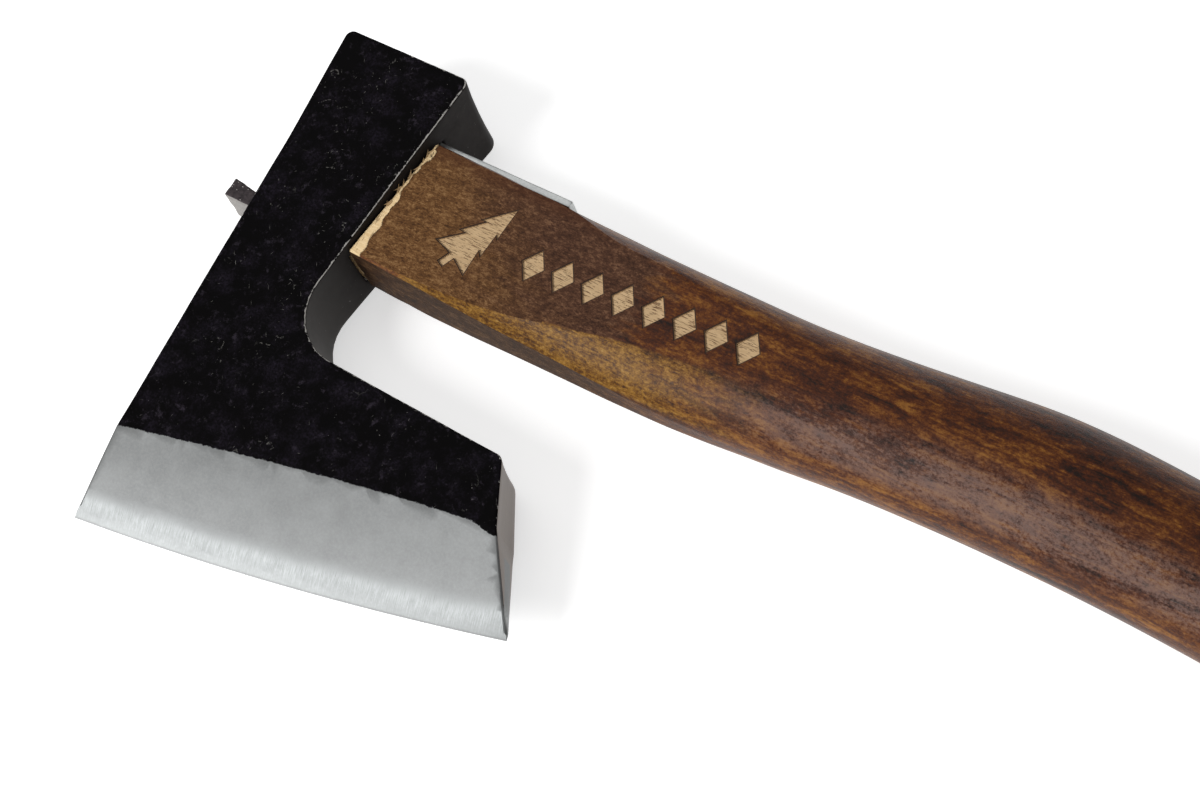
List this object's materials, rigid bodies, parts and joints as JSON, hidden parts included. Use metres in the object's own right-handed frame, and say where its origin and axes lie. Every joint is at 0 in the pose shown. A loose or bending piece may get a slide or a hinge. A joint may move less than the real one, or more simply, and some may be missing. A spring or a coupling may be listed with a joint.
{
  "type": "hatchet",
  "caption": "Forged hatchet head with a bearded blade and a ground, laminated edge, wedged and strapped on a curved wooden handle.",
  "frame": {"origin": "Centre of the bounding box, at the height of its lowest point, with the tool lying on one cheek.", "axes": "+X along the handle from the head to the grip, +Y toward the poll (the cutting edge faces -Y), +Z square to the cheeks and up."},
  "size_m": [0.3556, 0.1096, 0.0211],
  "materials": {
    "black_lacquer": "satin black lacquer with scuffs, bare ground steel on the bevel and the heel's end",
    "ground_steel": "fine cross-ground, honed bright along the edge",
    "stained_wood": "oiled brown hardwood, matte at the shoulder and semi-gloss on the grip",
    "wedge_wood": "raw pale hardwood",
    "dark_steel": "rough dark forged steel, rubbed brighter on one side",
    "zinc_plate": "zinc plated, satin",
    "nail_steel": "plain dull steel"
  },
  "bodies": {
    "root": {"axe_head": "black_lacquer", "edge_steel": "ground_steel", "handle": "stained_wood", "kerf_wedge": "wedge_wood", "eye_wedge": "dark_steel", "retaining_strap": "zinc_plate", "strap_nail_1": "nail_steel", "strap_nail_2": "nail_steel"}
  },
  "joints": []
}
